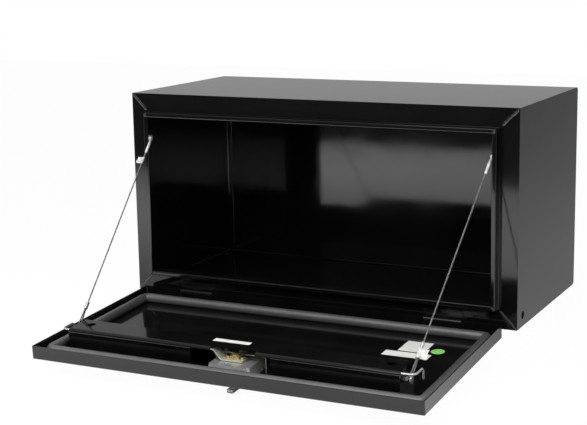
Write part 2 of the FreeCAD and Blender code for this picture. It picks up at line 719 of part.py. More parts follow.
def t_handle():
    """Tongue, stem and grip bar, with the bore for the lock in the middle of the grip."""
    half = TONGUE_WIDTH / 2
    h_bar = FOLD_H - HANDLE_REACH
    tongue = fold_rod(-half, half, TONGUE_RADIUS)
    stem = door_block(-half, half, SPINDLE_S - STEM_THICK / 2, SPINDLE_S + STEM_THICK / 2, h_bar,
                      FOLD_H)
    wide = HANDLE_BAR_WIDE / 2
    thick = HANDLE_BAR_THICK / 2
    grip = door_block(-HANDLE_BAR_HALF, HANDLE_BAR_HALF, SPINDLE_S - wide, SPINDLE_S + wide,
                      h_bar - thick, h_bar + thick)
    grip = grip.makeFillet(HANDLE_BAR_ROUND, grip.Edges)
    bores = [fold_rod(-half - 1, half + 1, FOLD_PIN_RADIUS + FOLD_CLEARANCE)]
    bores.append(spindle_rod(h_bar - thick - 1, FOLD_H - LOCK_FACE + LOCK_DEPTH + 0.2,
                             LOCK_RADIUS + LOCK_CLEARANCE))
    return unlatched(cut(fuse([tongue, stem, grip]), bores))


def lock_plug():
    """The plug of the lock, with its key slot."""
    face = FOLD_H - LOCK_FACE
    plug = spindle_rod(face, face + LOCK_DEPTH, LOCK_RADIUS)
    wide, long, deep = KEY_SLOT
    slot = door_block(-long / 2, long / 2, SPINDLE_S - wide / 2, SPINDLE_S + wide / 2, face - 1,
                      face + deep)
    return unlatched(cut(plug, [slot]))


# The stay cables in the open position, drawn on the right for a channel that ends at x = end

def cable_ends(end):
    """The screw end and the bolt end of the cable's centre line."""
    upper = Vector(OPENING_HALF - BARREL_IN, Y_FRONT - SCREW_OUT, SCREW_UP)
    lower = opened_point(on_door(end + NUT_HEIGHT + LOOP_GAP / 2, ANCHOR_S, ANCHOR_H))
    return upper, lower


def cable_directions(end):
    """Down along the cable, across it in the plane of its loop, and out to the side."""
    upper, lower = cable_ends(end)
    down = (lower - upper).normalize()
    across = AXIS_X.cross(down).normalize()
    return down, across, down.cross(across)


def cable_run(end, start, stop, radius):
    upper, lower = cable_ends(end)
    down = (lower - upper).normalize()
    return rod(upper + down * start, down, radius, stop - start)


def cable_stop(end):
    upper, lower = cable_ends(end)
    return (lower - upper).Length - LOOP_LENGTH - FERRULE_LENGTH


def cable_screw():
    """A round-headed screw through the eye and the frame's inner leg."""
    face = OPENING_HALF - EYE_SHEET
    centre = Vector(face, Y_FRONT - SCREW_OUT, SCREW_UP)
    shank = rod(centre, AXIS_X, SCREW_RADIUS, EYE_SHEET + SHEET + NUT_HEIGHT + 1)
    dome = Part.makeSphere(SCREW_HEAD_RADIUS, centre + Vector(SCREW_HEAD_RADIUS - SCREW_HEAD, 0, 0))
    head = dome.common(block(face - 2 * SCREW_HEAD, face, Y_FRONT - FAR, Y_FRONT + FAR, 0, FAR))
    return fuse([shank, head])


def cable_screw_nut():
    centre = Vector(OPENING_HALF + SHEET, Y_FRONT - SCREW_OUT, SCREW_UP)
    return hexagon(centre, AXIS_X, NUT_ACROSS, NUT_HEIGHT, SCREW_RADIUS)


def cable_eye(end):
    """A flat ring under the screw head, with a barrel crimped on the cable."""
    centre = Vector(OPENING_HALF - EYE_SHEET, Y_FRONT - SCREW_OUT, SCREW_UP)
    ring = rod(centre, AXIS_X, EYE_RADIUS, EYE_SHEET)
    barrel = cable_run(end, EYE_RADIUS - 1, BARREL_END, BARREL_RADIUS)
    bore = rod(centre - Vector(1, 0, 0), AXIS_X, SCREW_RADIUS, EYE_SHEET + 2)
    return cut(fuse([ring, barrel]), [bore])


def cable(end):
    return cable_run(end, BARREL_END, cable_stop(end), CABLE_RADIUS)


def cable_sleeve(end):
    """A soft sleeve over the upper end of the cable."""
    return cut(cable_run(end, BARREL_END, SLEEVE_END, SLEEVE_RADIUS),
               [cable_run(end, BARREL_END - 1, SLEEVE_END + 1, CABLE_RADIUS)])


def cable_tag(end, start, bore):
    """A bare tag, wrapped round the cable and standing off it as a flag."""
    upper, lower = cable_ends(end)
    down, across, side = cable_directions(end)
    out = side if side.x > 0 else side * -1
    ring = cable_run(end, start, start + TAG_LENGTH, bore + TAG_WALL)
    corner = upper + down * start - across * (TAG_SHEET / 2)
    ends = [corner, corner + down * TAG_LENGTH, corner + down * TAG_LENGTH + out * (bore + TAG_WIDE),
            corner + out * (bore + TAG_WIDE), corner]
    flag = Part.Face(Part.makePolygon(ends)).extrude(across * TAG_SHEET)
    return cut(fuse([ring, flag]), [cable_run(end, start - 1, start + TAG_LENGTH + 1, bore)])


def right_tag(end):
    """The right tag hangs round both strands, below the ferrule."""
    return cable_tag(end, cable_stop(end) + FERRULE_LENGTH + 1, STRAND_HALF + CABLE_RADIUS + 1.2)


def left_tag(end):
    return cable_tag(end, LEFT_TAG_START, CABLE_RADIUS)


def cable_ferrule(end):
    """An oval ferrule pressed over the two strands."""
    upper, lower = cable_ends(end)
    down, across, side = cable_directions(end)
    centre = upper + down * cable_stop(end)
    a = centre + across * STRAND_HALF
    b = centre - across * STRAND_HALF
    reach = side * FERRULE_RADIUS
    edges = [Part.LineSegment(a + reach, b + reach).toShape(),
             Part.Arc(b + reach, b - across * FERRULE_RADIUS, b - reach).toShape(),
             Part.LineSegment(b - reach, a - reach).toShape(),
             Part.Arc(a - reach, a + across * FERRULE_RADIUS, a + reach).toShape()]
    return Part.Face(Part.Wire(edges)).extrude(down * FERRULE_LENGTH)


def cable_loop(end):
    """The cable's end, led round the bolt and back into the ferrule: two runs and one arc."""
    lower = cable_ends(end)[1]
    down, across, side = cable_directions(end)
    spread = math.asin((LOOP_RADIUS - STRAND_HALF) / LOOP_LENGTH)
    arm = across * math.cos(spread) - down * math.sin(spread)
    other = across * -math.cos(spread) - down * math.sin(spread)
    top = lower - down * LOOP_LENGTH
    starts = [top + across * STRAND_HALF, top - across * STRAND_HALF]
    touch = [lower + arm * LOOP_RADIUS, lower + other * LOOP_RADIUS]
    edges = [Part.LineSegment(starts[0], touch[0]).toShape(),
             Part.Arc(touch[0], lower + down * LOOP_RADIUS, touch[1]).toShape(),
             Part.LineSegment(touch[1], starts[1]).toShape()]
    path = Part.Wire(edges)
    circle = Part.Wire(Part.makeCircle(CABLE_RADIUS, starts[0], touch[0] - starts[0]))
    return cut(path.makePipeShell([circle], True, False), [cable_ferrule(end)])


def cable_bolt(end):
    """The bolt through the loop, the nut and the plate, with a wide head that keeps the loop on."""
    face = end + NUT_HEIGHT + LOOP_GAP
    start = end - ANCHOR_PLATE - 2
    shank = rod(on_door(start, ANCHOR_S, ANCHOR_H), AXIS_X, BOLT_RADIUS, face - start)
    head = rod(on_door(face, ANCHOR_S, ANCHOR_H), AXIS_X, BOLT_HEAD_RADIUS, SCREW_HEAD)
    rim = [e for e in head.Edges if e.BoundBox.XMin > face + SCREW_HEAD - 0.01]
    return opened(fuse([shank, head.makeFillet(1.2, rim)]))


def cable_bolt_nut(end):
    return opened(hexagon(on_door(end, ANCHOR_S, ANCHOR_H), AXIS_X, NUT_ACROSS, NUT_HEIGHT,
                          BOLT_RADIUS))


def both_sides(pieces, name, shape):
    pieces[name + "_right"] = shape
    pieces[name + "_left"] = mirrored(shape)


def build():
    pieces = {
        "body_wrap": body_wrap(),
        "frame_bottom": frame_member(WIDTH),
        "frame_top": frame_top(),
        "frame_corner_welds": frame_corner_welds(),
        "box_tacks": on_both(seam_welds() + frame_hinge_tacks()),
        "hinge_door_tacks": door_hinge_tacks(),
        "door_pan": door_pan(),
        "door_corner_welds": door_corner_beads(),
        "door_seal": door_seal(),
        "door_channel": door_channel(),
        "latch_pan": latch_pan(),
        "latch_strap": latch_strap(),
        "latch_studs": latch_studs(),
        "latch_stud_nuts": latch_stud_nuts(),
        "latch_bushing": latch_bushing(),
        "latch_spindle": spindle(),
        "latch_fold_pin": fold_pin(),
        "latch_cam": cam_arm(),
        "latch_cam_nuts": cam_nuts(),
        "latch_handle": t_handle(),
        "lock_plug": lock_plug(),
        "sticker_dot": sticker_dot(),
    }
    for name, x, s, h, size_x, size_s in STICKERS:
        pieces[name] = sticker(x, s, h, size_x, size_s)
    pieces["end_panel_right"] = end_panel(True)
    pieces["end_panel_left"] = mirrored(end_panel(False))
    both_sides(pieces, "frame_side", frame_right())
    both_sides(pieces, "hinge_frame_leaf", frame_hinge_leaf())
    both_sides(pieces, "hinge_door_leaf", door_hinge_leaf())
    both_sides(pieces, "hinge_pin", hinge_pin())
    both_sides(pieces, "cable_screw", cable_screw())
    both_sides(pieces, "cable_screw_nut", cable_screw_nut())
    for side, end in (("right", CHANNEL_RIGHT), ("left", -CHANNEL_LEFT)):
        stay = {
            "cable_plate_": cable_plate(end),
            "cable_keeper_": cable_keeper(end, KEEPER_REACHES[side]),
            "cable_bolt_": cable_bolt(end),
            "cable_bolt_nut_": cable_bolt_nut(end),
            "cable_eye_": cable_eye(end),
            "cable_": cable(end),
            "cable_sleeve_": cable_sleeve(end),
            "cable_ferrule_": cable_ferrule(end),
            "cable_loop_": cable_loop(end),
            "cable_tag_": right_tag(end) if side == "right" else left_tag(end),
        }
        for name, shape in stay.items():
            pieces[name + side] = shape if side == "right" else mirrored(shape)
    return pieces


def export(pieces):
    os.makedirs("parts", exist_ok=True)
    for name, shape in pieces.items():
        shape.exportStep(os.path.join("parts", name + ".step"))


parts = build()
export(parts)
for part_name, part_shape in parts.items():
    print(part_name, "valid" if part_shape.isValid() else "INVALID", len(part_shape.Solids), "solids",
          round(part_shape.Volume), "mm3")
print("nodes", len(parts))
for part_side, channel_end in (("right", CHANNEL_RIGHT), ("left", -CHANNEL_LEFT)):
    print("cable", part_side, "free length", round(cable_stop(channel_end) - BARREL_END, 1), "mm, straight")
print("cable loop radius", LOOP_RADIUS, "mm")
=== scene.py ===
import json
import math

import bpy
import numpy as np
from mathutils import Matrix, Vector


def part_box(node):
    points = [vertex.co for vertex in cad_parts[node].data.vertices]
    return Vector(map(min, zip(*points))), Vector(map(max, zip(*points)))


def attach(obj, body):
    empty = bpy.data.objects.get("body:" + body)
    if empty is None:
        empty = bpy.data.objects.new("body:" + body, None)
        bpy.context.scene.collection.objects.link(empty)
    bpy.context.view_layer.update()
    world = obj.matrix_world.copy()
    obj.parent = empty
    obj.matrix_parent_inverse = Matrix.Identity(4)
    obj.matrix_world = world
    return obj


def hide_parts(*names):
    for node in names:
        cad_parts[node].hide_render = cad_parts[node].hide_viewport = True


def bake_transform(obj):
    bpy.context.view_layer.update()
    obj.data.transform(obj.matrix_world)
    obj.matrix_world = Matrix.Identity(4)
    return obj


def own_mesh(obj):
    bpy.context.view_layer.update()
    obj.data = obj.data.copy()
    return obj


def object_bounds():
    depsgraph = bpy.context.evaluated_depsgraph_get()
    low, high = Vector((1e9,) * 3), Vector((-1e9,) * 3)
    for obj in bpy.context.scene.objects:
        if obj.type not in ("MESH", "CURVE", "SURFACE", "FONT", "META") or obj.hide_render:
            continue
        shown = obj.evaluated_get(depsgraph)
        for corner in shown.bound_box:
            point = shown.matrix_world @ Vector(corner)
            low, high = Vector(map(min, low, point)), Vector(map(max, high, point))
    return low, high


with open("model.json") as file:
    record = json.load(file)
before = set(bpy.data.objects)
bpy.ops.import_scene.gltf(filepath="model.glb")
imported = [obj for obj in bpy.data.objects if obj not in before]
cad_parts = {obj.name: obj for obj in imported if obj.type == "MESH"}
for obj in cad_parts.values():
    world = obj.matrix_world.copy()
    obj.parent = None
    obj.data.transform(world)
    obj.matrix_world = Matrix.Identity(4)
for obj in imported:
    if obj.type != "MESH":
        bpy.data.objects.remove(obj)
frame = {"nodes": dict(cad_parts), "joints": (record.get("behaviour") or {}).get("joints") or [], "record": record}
cad_box = [list(corner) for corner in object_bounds()]

# Underbody truck tool box with its door open. Metres. X to the right, Y to the back, Z up.

# The hinge pin's place comes from the frame. With the door shut its outer face is DOOR_OUT in
# front of the pin and its hinge edge DOOR_UP above the pin.
HINGE = Vector(next(j["pos_m"] for j in frame["joints"] if j["name"] == "door_hinge"))
OPEN_ANGLE = math.radians(93.6)
DOOR_OUT = 0.0215
DOOR_UP = 0.006
SHEET = 0.0019

# Camera, matched to the photograph
CAMERA_PLACE = (1.265, -2.7911, 0.776)
CAMERA_YAW = math.radians(-26.21)
CAMERA_PITCH = math.radians(-11.03)
CAMERA_ROLL = math.radians(-0.86)
FOCAL_PIXELS = 1354.0
IMAGE_WIDE = 587
IMAGE_HIGH = 425
CENTRE_PIXEL = (313.0, 211.1)
SENSOR_MM = 36.0

RNG_SEED = 7


def door_points(x, s, h):
    """Points on the open door: s from its hinge edge to its free edge, h in from its outer face.

    The shut door's offsets from the hinge pin are turned about the pin by the opening angle."""
    x, s, h = np.broadcast_arrays(*(np.asarray(v, float) for v in (x, s, h)))
    out = h - DOOR_OUT
    up = s + DOOR_UP
    cos, sin = math.cos(OPEN_ANGLE), math.sin(OPEN_ANGLE)
    return np.stack([x, HINGE.y + out * cos - up * sin, HINGE.z + out * sin + up * cos], -1)


def door_point(x, s, h):
    """One such point, as a vector."""
    return Vector(door_points(x, s, h).reshape(3))


# Meshes

def grid_faces(rows, columns, closed_rows=False, closed_columns=False):
    """Quads of a grid of rows by columns, row after row, joined round where it is closed."""
    r = np.arange(rows if closed_rows else rows - 1)
    c = np.arange(columns if closed_columns else columns - 1)
    r, c = (a.ravel() for a in np.meshgrid(r, c, indexing="ij"))
    r1, c1 = (r + 1) % rows, (c + 1) % columns
    return np.stack([r * columns + c, r * columns + c1, r1 * columns + c1, r1 * columns + c], 1)


def new_piece(name, points, faces, slot, body=None):
    """A smooth mesh object at the origin from an array of points and lists of faces."""
    mesh = bpy.data.meshes.new(name)
    mesh.from_pydata(np.asarray(points).reshape(-1, 3).tolist(), [], [list(f) for f in faces])
    mesh.update()
    mesh.polygons.foreach_set("use_smooth", [True] * len(mesh.polygons))
    piece = bpy.data.objects.new(name, mesh)
    bpy.context.scene.collection.objects.link(piece)
    piece.data.materials.append(MATERIALS[slot])
    if body:
        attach(piece, body)
    return piece


def sweep(path, side, radii, angles):
    """A surface swept along an open path. Point i,j is path i plus radius i,j along a direction.

    The direction is side i, made square to the path's tangent and turned about it by angle i,j."""
    tangent = np.gradient(path, axis=0)
    tangent /= np.linalg.norm(tangent, axis=1, keepdims=True)
    side = side - tangent * (side * tangent).sum(1, keepdims=True)
    side /= np.linalg.norm(side, axis=1, keepdims=True)
    other = np.cross(tangent, side)
    direction = (side[:, None] * np.cos(angles)[..., None]
                 + other[:, None] * np.sin(angles)[..., None])
    return path[:, None] + direction * np.asarray(radii)[..., None]


def capped_tube_faces(rings, sides):
    """The side quads of an open tube and one flat polygon on each end."""
    faces = [tuple(f) for f in grid_faces(rings, sides, closed_columns=True)]
    faces.append(tuple(range(sides))[::-1])
    faces.append(tuple(range((rings - 1) * sides, rings * sides)))
    return faces


# Materials

# Noise scale, the input that turns it up, and its depth in metres
SHEET_RELIEF = ((5.0, "Wave", 0.0012), (420.0, "Peel", 0.00002), (150.0, "Grit", 0.0002))
DUST_COLOUR = (0.32, 0.31, 0.29, 1)
COLOUR_MOTTLE = 0.7


def group(name, inputs, outputs):
    """An empty shader node group with float or colour sockets."""
    tree = bpy.data.node_groups.new(name, "ShaderNodeTree")
    for label, kind, value in inputs:
        socket = tree.interface.new_socket(label, in_out="INPUT", socket_type=kind)
        socket.default_value = value
    for label, kind in outputs:
        tree.interface.new_socket(label, in_out="OUTPUT", socket_type=kind)
    return tree, tree.nodes.new("NodeGroupInput"), tree.nodes.new("NodeGroupOutput")


def node(tree, kind, **settings):
    """A node with its settings. A value for an input is given as in_0, in_1 and so on."""
    made = tree.nodes.new(kind)
    for key, value in settings.items():
        if key.startswith("in_"):
            made.inputs[int(key[3:])].default_value = value
        else:
            setattr(made, key, value)
    return made


def mottling_group():
    """Cloud noise spread between two values: handling marks and uneven spray."""
    tree, start, end = group("Mottling", [("Scale", "NodeSocketFloat", 6.0),
                                          ("Low", "NodeSocketFloat", 0.1),
                                          ("High", "NodeSocketFloat", 0.3)],
                             [("Value", "NodeSocketFloat")])
    place = node(tree, "ShaderNodeTexCoord")
    noise = node(tree, "ShaderNodeTexNoise")
    noise.inputs["Detail"].default_value = 5.0
    noise.inputs["Roughness"].default_value = 0.6
    spread = node(tree, "ShaderNodeMapRange")
    spread.inputs["From Min"].default_value = 0.35
    spread.inputs["From Max"].default_value = 0.68
    tree.links.new(place.outputs["Object"], noise.inputs["Vector"])
    tree.links.new(start.outputs["Scale"], noise.inputs["Scale"])
    tree.links.new(noise.outputs["Fac"], spread.inputs["Value"])
    tree.links.new(start.outputs["Low"], spread.inputs["To Min"])
    tree.links.new(start.outputs["High"], spread.inputs["To Max"])
    tree.links.new(spread.outputs["Result"], end.inputs["Value"])
    return tree


def skin_group():
    """Height of a sprayed sheet: a slow wave of the metal, fine orange peel and grit."""
    tree, start, end = group("Sprayed_Sheet", [("Wave", "NodeSocketFloat", 1.0),
                                               ("Peel", "NodeSocketFloat", 1.0),
                                               ("Grit", "NodeSocketFloat", 0.0)],
                             [("Height", "NodeSocketFloat")])
    place = node(tree, "ShaderNodeTexCoord")
    total = None
    for scale, label, depth in SHEET_RELIEF:
        noise = node(tree, "ShaderNodeTexNoise")
        noise.inputs["Scale"].default_value = scale
        noise.inputs["Detail"].default_value = 2.0
        tree.links.new(place.outputs["Object"], noise.inputs["Vector"])
        part = node(tree, "ShaderNodeMath", operation="MULTIPLY", in_1=depth)
        tree.links.new(noise.outputs["Fac"], part.inputs[0])
        scaled = node(tree, "ShaderNodeMath", operation="MULTIPLY")
        tree.links.new(part.outputs[0], scaled.inputs[0])
        tree.links.new(start.outputs[label], scaled.inputs[1])
        if total is None:
            total = scaled
        else:
            added = node(tree, "ShaderNodeMath", operation="ADD")
            tree.links.new(total.outputs[0], added.inputs[0])
            tree.links.new(scaled.outputs[0], added.inputs[1])
            total = added
    tree.links.new(total.outputs[0], end.inputs["Height"])
    return tree


def dust_group():
    """Dust that settles on faces that look up, broken by fine noise, and sparse specks."""
    tree, start, end = group("Dust", [("Amount", "NodeSocketFloat", 0.1),
                                      ("Specks", "NodeSocketFloat", 0.1)],
                             [("Mask", "NodeSocketFloat")])
    place = node(tree, "ShaderNodeTexCoord")
    facing = node(tree, "ShaderNodeNewGeometry")
    split = node(tree, "ShaderNodeSeparateXYZ")
    tree.links.new(facing.outputs["Normal"], split.inputs[0])
    up = node(tree, "ShaderNodeMapRange")
    up.inputs["From Min"].default_value = 0.3
    tree.links.new(split.outputs["Z"], up.inputs["Value"])
    cloud = node(tree, "ShaderNodeTexNoise")
    cloud.inputs["Scale"].default_value = 14.0
    cloud.inputs["Detail"].default_value = 6.0
    tree.links.new(place.outputs["Object"], cloud.inputs["Vector"])
    settled = node(tree, "ShaderNodeMath", operation="MULTIPLY")
    tree.links.new(up.outputs["Result"], settled.inputs[0])
    tree.links.new(cloud.outputs["Fac"], settled.inputs[1])
    amount = node(tree, "ShaderNodeMath", operation="MULTIPLY")
    tree.links.new(settled.outputs[0], amount.inputs[0])
    tree.links.new(start.outputs["Amount"], amount.inputs[1])
    speck = node(tree, "ShaderNodeTexVoronoi", feature="F1")
    speck.inputs["Scale"].default_value = 60.0
    tree.links.new(place.outputs["Object"], speck.inputs["Vector"])
    small = node(tree, "ShaderNodeMapRange")
    small.inputs["From Min"].default_value = 0.0
    small.inputs["From Max"].default_value = 0.06
    small.inputs["To Min"].default_value = 1.0
    small.inputs["To Max"].default_value = 0.0
    tree.links.new(speck.outputs["Distance"], small.inputs["Value"])
    specks = node(tree, "ShaderNodeMath", operation="MULTIPLY")
    tree.links.new(small.outputs["Result"], specks.inputs[0])
    tree.links.new(start.outputs["Specks"], specks.inputs[1])
    both = node(tree, "ShaderNodeMath", operation="ADD", use_clamp=True)
    tree.links.new(amount.outputs[0], both.inputs[0])
    tree.links.new(specks.outputs[0], both.inputs[1])
    tree.links.new(both.outputs[0], end.inputs["Mask"])
    return tree


MOTTLING = mottling_group()
SPRAYED = skin_group()
DUST = dust_group()


def use_group(tree, source, **values):
    """A node that places a group in a material, with its values."""
    made = tree.nodes.new("ShaderNodeGroup")
    made.node_tree = source
    for label, value in values.items():
        made.inputs[label].default_value = value
    return made


def finish_material(name, colour, second, rough, metallic=0.0, coat=0.0, coat_rough=0.05,
                    specular=0.5, mottle=7.0, wave=0.0, peel=0.0, grit=0.0, dust=0.0, specks=0.0):
    """A surface with two colours blended by mottling, mottled roughness, sheet relief and dust."""
    material = bpy.data.materials.new(name)
    material.use_nodes = True
    tree = material.node_tree
    shader = tree.nodes["Principled BSDF"]
    shader.inputs["Metallic"].default_value = metallic
    shader.inputs["Specular IOR Level"].default_value = specular
    shader.inputs["Coat Weight"].default_value = coat
    shader.inputs["Coat Roughness"].default_value = coat_rough
    blend = use_group(tree, MOTTLING, Scale=mottle * COLOUR_MOTTLE, Low=0.0, High=1.0)
    mix = node(tree, "ShaderNodeMix", data_type="RGBA")
    mix.inputs["A"].default_value = (*colour, 1)
    mix.inputs["B"].default_value = (*second, 1)
    tree.links.new(blend.outputs["Value"], mix.inputs["Factor"])
    dusty = node(tree, "ShaderNodeMix", data_type="RGBA")
    dusty.inputs["B"].default_value = DUST_COLOUR
    mask = use_group(tree, DUST, Amount=dust, Specks=specks)
    tree.links.new(mask.outputs["Mask"], dusty.inputs["Factor"])
    tree.links.new(mix.outputs["Result"], dusty.inputs["A"])
    tree.links.new(dusty.outputs["Result"], shader.inputs["Base Color"])
    roughness = use_group(tree, MOTTLING, Scale=mottle, Low=rough[0], High=rough[1])
    tree.links.new(roughness.outputs["Value"], shader.inputs["Roughness"])
    relief = use_group(tree, SPRAYED, Wave=wave, Peel=peel, Grit=grit)
    bumped = node(tree, "ShaderNodeBump")
    bumped.inputs["Strength"].default_value = 1.0
    bumped.inputs["Distance"].default_value = 1.0
    tree.links.new(relief.outputs["Height"], bumped.inputs["Height"])
    tree.links.new(bumped.outputs["Normal"], shader.inputs["Normal"])
    return material


def make_materials():
    black = (0.0012, 0.0012, 0.0014)
    return {
        "black_paint": finish_material("gloss_black_enamel", black, (0.0022, 0.0022, 0.0025),
                                       (0.05, 0.10), specular=0.36, wave=0.42, peel=0.6,
                                       dust=0.006, specks=0.02),
        "black_paint_door": finish_material("gloss_black_enamel_door", black,
                                            (0.0026, 0.0025, 0.0027), (0.05, 0.11), specular=0.34,
                                            wave=0.42, peel=0.6, dust=0.008, specks=0.03),
        "weld_paint": finish_material("painted_weld", (0.006, 0.006, 0.007), (0.02, 0.02, 0.02),
                                      (0.08, 0.20), grit=1.4, mottle=60, dust=0.05),
        "hinge_paint": finish_material("painted_hinge", (0.002, 0.002, 0.0024),
                                       (0.004, 0.004, 0.004), (0.07, 0.16), specular=0.4,
                                       peel=1.2, grit=0.3, mottle=30, dust=0.01),
        "pin_steel": finish_material("drawn_steel", (0.35, 0.35, 0.35), (0.2, 0.2, 0.2),
                                     (0.3, 0.5), metallic=1.0, mottle=60),
        "seal_rubber": finish_material("black_rubber_bulb", (0.026, 0.026, 0.027),
                                       (0.036, 0.036, 0.037), (0.42, 0.54), specular=1.0, coat=0.6,
                                       coat_rough=0.42, grit=0.12, mottle=20, dust=0.02,
                                       specks=0.1),
        "stainless": finish_material("stainless_sheet", (0.68, 0.68, 0.68), (0.56, 0.56, 0.56),
                                     (0.22, 0.38), metallic=0.88, mottle=25, grit=0.05),
        "zinc_plate": finish_material("zinc_plated_strip", (0.74, 0.74, 0.58), (0.6, 0.6, 0.48),
                                      (0.28, 0.44), metallic=0.78, mottle=35, grit=0.15),
        "yellow_zinc": finish_material("yellow_passivated_zinc", (0.62, 0.50, 0.22),
                                       (0.55, 0.40, 0.20), (0.22, 0.4), metallic=0.8, mottle=70),
        "lock_chrome": finish_material("polished_plug", (0.62, 0.62, 0.62), (0.5, 0.5, 0.5),
                                       (0.08, 0.2), metallic=1.0, mottle=60),
        "bright_zinc": finish_material("bright_zinc", (0.62, 0.63, 0.65), (0.45, 0.46, 0.48),
                                       (0.2, 0.36), metallic=0.85, mottle=80),
        "wire_rope": finish_material("dull_wire", (0.34, 0.34, 0.345), (0.18, 0.18, 0.185),
                                     (0.30, 0.5), metallic=1.0, mottle=120),
        "sleeve_plastic": finish_material("soft_clear_sleeve", (0.50, 0.50, 0.50),
                                          (0.36, 0.36, 0.36), (0.3, 0.5), mottle=120),
        "paper_tag": finish_material("paper_wrap", (0.44, 0.44, 0.43), (0.22, 0.22, 0.215),
                                     (0.35, 0.6), mottle=170, grit=0.6),
        "white_film": finish_material("white_sticker_film", (0.50, 0.50, 0.48), (0.42, 0.42, 0.40),
                                      (0.35, 0.55), mottle=40, grit=0.05),
        "green_film": finish_material("green_sticker_film", (0.17, 0.43, 0.10), (0.14, 0.36, 0.08),
                                      (0.35, 0.5), mottle=60),
    }


MATERIALS = make_materials()
for entry in frame["record"]["subparts"]:
    cad = frame["nodes"][entry["node"]]
    cad.data.materials.clear()
    cad.data.materials.append(MATERIALS[entry["material_slot"]])


# The stay cables. Their places are the part's own, in metres.

# The rope, its strands and how finely it is drawn
CABLE_RADIUS = 0.0015
STRANDS = 6
STRAND_STEPS = 6
CABLE_LAY = 0.014
RING_STEP = 0.0009
STRAIGHT_RUN = 12 * CABLE_RADIUS

# The upper screw, and down the cable from it: the barrel's end, and how far above that lies the point
# where the stay would start to bend as the door shuts to keep behind the shut door; it is worked out but not used
SCREW_PLACE = (0.4024, -0.2261, 0.3575)
BARREL_END = 0.013
BEND_EARLY = 0.020

# The lower bolt on the door
ANCHOR_ALONG = {"right": 0.3630, "left": 0.3880}
ANCHOR_S = 0.3375
ANCHOR_H = 0.025

# The loop round the bolt: half the gap of its legs in the ferrule and round the bolt, how far they
# tuck into the ferrule, where they part, and how far from the bolt they are widest
LOOP_LENGTH = 0.062
FERRULE_LENGTH = 0.016
STRAND_HALF = 0.00155
LOOP_REACH = 0.0049
LOOP_TUCK = 0.002
LOOP_PARTS = 0.006
LOOP_CLOSES = 0.009

# The soft sleeve. Its crimps are shares of its length.
SLEEVE_END = 0.040
SLEEVE_RINGS = 44
SLEEVE_SIDES = 28
SLEEVE_CORE = 0.0016
SLEEVE_WALL = 0.0012
SLEEVE_TOE = 14
SLEEVE_UNEVEN = 0.03
CRIMPS = (0.3, 0.7)
CRIMP_WIDE = 0.07
CRIMP_DEEP = 0.0003

# The paper tags. The opening is the fold's half angle in degrees.
PAPER_HALF = 0.0002
PAPER_GAP = 0.00032
PAPER_OPENING = 38
PAPER_CLOSING = 0.0012
PAPER_COLUMNS = 22
PAPER_ROWS = 18


def route_points(points, step):
    """Evenly spaced points on the smooth NURBS line that has the given control points."""
    curve = bpy.data.curves.new("route", "CURVE")
    curve.dimensions = "3D"
    curve.resolution_u = 24
    spline = curve.splines.new("NURBS")
    spline.points.add(len(points) - 1)
    for control, point in zip(spline.points, points):
        control.co = (*point, 1)
    spline.order_u = 3
    spline.use_endpoint_u = True
    holder = bpy.data.objects.new("route", curve)
    mesh = bpy.data.meshes.new_from_object(holder)
    line = np.array([v.co for v in mesh.vertices])
    bpy.data.objects.remove(holder)
    bpy.data.curves.remove(curve)
    bpy.data.meshes.remove(mesh)
    run = np.concatenate([[0], np.cumsum(np.linalg.norm(np.diff(line, axis=0), axis=1))])
    places = np.linspace(0, run[-1], max(4, int(run[-1] / step)))
    return np.stack([np.interp(places, run, line[:, k]) for k in range(3)], 1)


class Stay:
    """One stay cable: its ends and its three directions, mirrored on the left."""

    def __init__(self, side):
        sign = 1 if side == "right" else -1
        x, y, z = SCREW_PLACE
        self.side = side
        self.upper = Vector((sign * x, y, z))
        self.lower = door_point(sign * ANCHOR_ALONG[side], ANCHOR_S, ANCHOR_H)
        self.down = (self.lower - self.upper).normalized()
        self.across = Vector((sign, 0, 0)).cross(self.down).normalized()
        out = self.down.cross(self.across)
        self.out = out if out.x * sign > 0 else -out
        self.stop = (self.lower - self.upper).length - LOOP_LENGTH - FERRULE_LENGTH
        self.top = self.at(BARREL_END)
        self.bottom = self.at(self.stop)
        self.bend_start = self.at(BARREL_END - BEND_EARLY)

    def at(self, distance):
        return self.upper + self.down * distance

    def places(self, along, across, out):
        """Points given by distances down the cable, across it and out to its side."""
        along, across, out = (np.asarray(v, float)[..., None] for v in (along, across, out))
        return (np.array(self.upper) + along * np.array(self.down) + across * np.array(self.across)
                + out * np.array(self.out))


def rope_radii(angles):
    """Outline of six round strands laid in a ring: the far side of the nearest strand's circle."""
    ring = CABLE_RADIUS / (1 + math.sin(math.pi / STRANDS))
    strand = CABLE_RADIUS - ring
    near = (angles + math.pi / STRANDS) % (2 * math.pi / STRANDS) - math.pi / STRANDS
    return ring * np.cos(near) + np.sqrt(np.maximum(strand ** 2 - (ring * np.sin(near)) ** 2, 0))


def rope_piece(name, controls, side, body=None):
    """Six strands laid round a smooth line: the lobed outline turns once per lay length."""
    path = route_points(controls, RING_STEP)
    rings, sides = len(path), STRANDS * STRAND_STEPS
    angles = np.linspace(0, 2 * math.pi, sides, endpoint=False)
    length = float(np.linalg.norm(np.diff(path, axis=0), axis=1).sum())
    turned = angles[None] + (2 * math.pi * np.linspace(0, length / CABLE_LAY, rings))[:, None]
    radii = np.broadcast_to(rope_radii(angles), turned.shape)
    points = sweep(path, np.broadcast_to(np.array(side), path.shape), radii, turned)
    rope = new_piece(name, points, capped_tube_faces(rings, sides), "wire_rope", body)
    return rope, path, length


